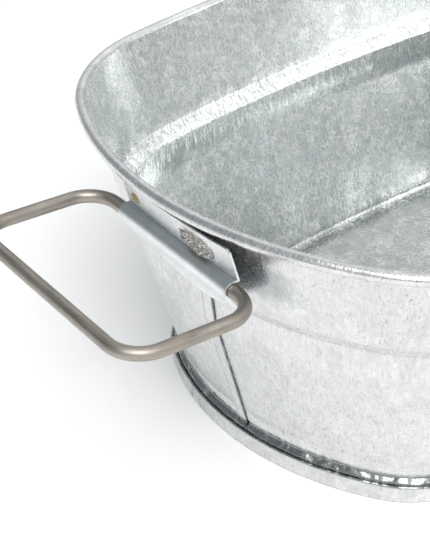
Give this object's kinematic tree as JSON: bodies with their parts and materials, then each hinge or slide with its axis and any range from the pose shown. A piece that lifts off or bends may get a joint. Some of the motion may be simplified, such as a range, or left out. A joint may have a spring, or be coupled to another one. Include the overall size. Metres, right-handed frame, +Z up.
{
  "type": "oval metal tub",
  "caption": "Oval flared sheet-steel tub with a wired rim, a swaged bead, a folded foot seam and swinging wire loop handles in end brackets.",
  "frame": {"origin": "middle of the tub on the plane that the foot stands on", "axes": "+Z up, +X along the tub's length towards the right handle, +Y towards wall_back"},
  "size_m": [0.4312, 0.234, 0.122],
  "materials": {
    "galvanised_wall": "galvanised sheet, zinc spangle with fine upright brush streaks",
    "galvanised_base": "galvanised sheet, slightly duller",
    "core_wire": "plain drawn wire, hidden in the rim",
    "bracket_sheet": "bright galvanised strip",
    "weld_metal": "burnt, pitted weld",
    "handle_wire": "bare drawn steel wire, matte with lengthwise streaks"
  },
  "bodies": {
    "tub": {"wall_back": "galvanised_wall", "wall_front": "galvanised_wall", "base_pan": "galvanised_base", "rim_wire": "core_wire", "bracket_left": "bracket_sheet", "bracket_right": "bracket_sheet", "spot_welds_left": "weld_metal", "spot_welds_right": "weld_metal"},
    "handle_left": {"handle_left": "handle_wire"},
    "handle_right": {"handle_right": "handle_wire"}
  },
  "joints": [
    {"name": "left_handle_swing", "type": "hinge", "parent": "tub", "child": "handle_left", "pos_m": [-0.15884, 0.0028, 0.1004], "axis": [0.0958, 0.9954, 0], "range_deg": [-106, 73]},
    {"name": "right_handle_swing", "type": "hinge", "parent": "tub", "child": "handle_right", "pos_m": [0.15884, -0.0028, 0.1004], "axis": [-0.0958, -0.9954, 0], "range_deg": [-106, 73]}
  ]
}
